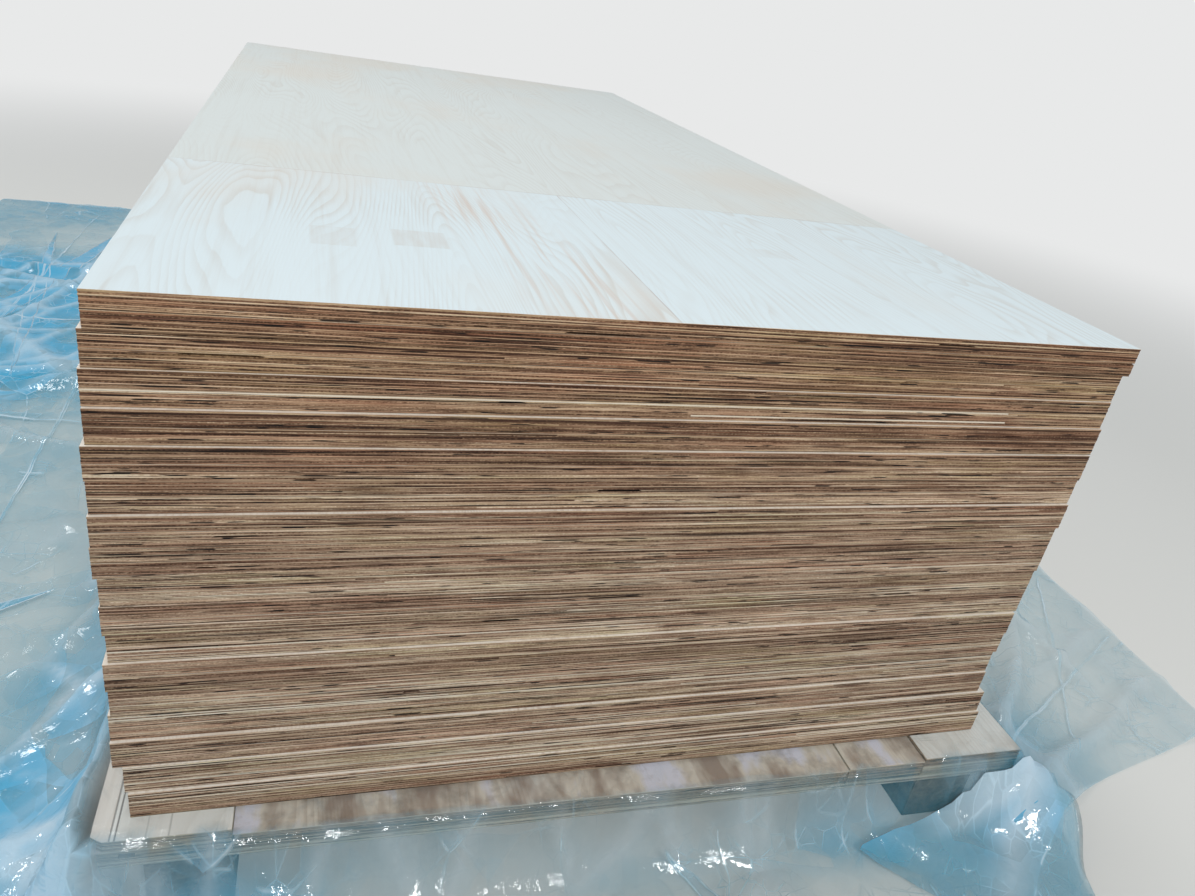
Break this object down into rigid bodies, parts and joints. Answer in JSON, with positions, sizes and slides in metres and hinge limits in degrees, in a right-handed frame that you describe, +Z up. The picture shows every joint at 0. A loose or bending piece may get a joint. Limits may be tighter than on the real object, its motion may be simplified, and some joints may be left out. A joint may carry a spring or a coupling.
{
  "type": "stack of plywood sheets",
  "caption": "Stack of full-size plywood sheets lying in trimmed lifts on a low pallet, with clear packing film spread under the load and over the floor round it",
  "frame": {"origin": "On the floor under the middle of the pallet, at the centre of the middle bearer's underside", "axes": "+Z up, +Y along the length of the sheets to the back, +X across them to the right"},
  "size_m": [2.915, 3.523, 0.7816],
  "materials": {
    "plywood": "sawn plywood edge, pale cut veneer faces",
    "deck_board": "weathered plywood",
    "pale_panel": "pale veneer face, sawn edge",
    "bearer": "rough sawn timber",
    "clear_film": "crinkled blue-tinted clear polyethylene film"
  },
  "bodies": {
    "root": {"sheet_01": "plywood", "sheet_02": "plywood", "sheet_03": "plywood", "sheet_04": "plywood", "sheet_05": "plywood", "sheet_06": "plywood", "sheet_07": "plywood", "sheet_08": "plywood", "sheet_09": "plywood", "sheet_10": "plywood", "sheet_11": "plywood", "sheet_12": "plywood", "sheet_13": "plywood", "sheet_14": "plywood", "sheet_15": "plywood", "sheet_16": "plywood", "sheet_17": "plywood", "sheet_18": "plywood", "sheet_19": "plywood", "sheet_20": "plywood", "sheet_21": "plywood", "sheet_22": "plywood", "sheet_23": "plywood", "sheet_24": "plywood", "sheet_25": "plywood", "sheet_26": "plywood", "sheet_27": "plywood", "sheet_28": "plywood", "sheet_29": "plywood", "sheet_30": "plywood", "sheet_31": "plywood", "sheet_32": "plywood", "sheet_33": "plywood", "sheet_34": "plywood", "deck_underlay": "deck_board", "deck_middle": "deck_board", "deck_filler": "deck_board", "side_board_left": "deck_board", "side_board_right": "deck_board", "side_panel_left": "pale_panel", "side_panel_right": "pale_panel", "bearer_left": "bearer", "bearer_centre": "bearer", "bearer_right": "bearer", "packing_film": "clear_film"}
  },
  "joints": []
}
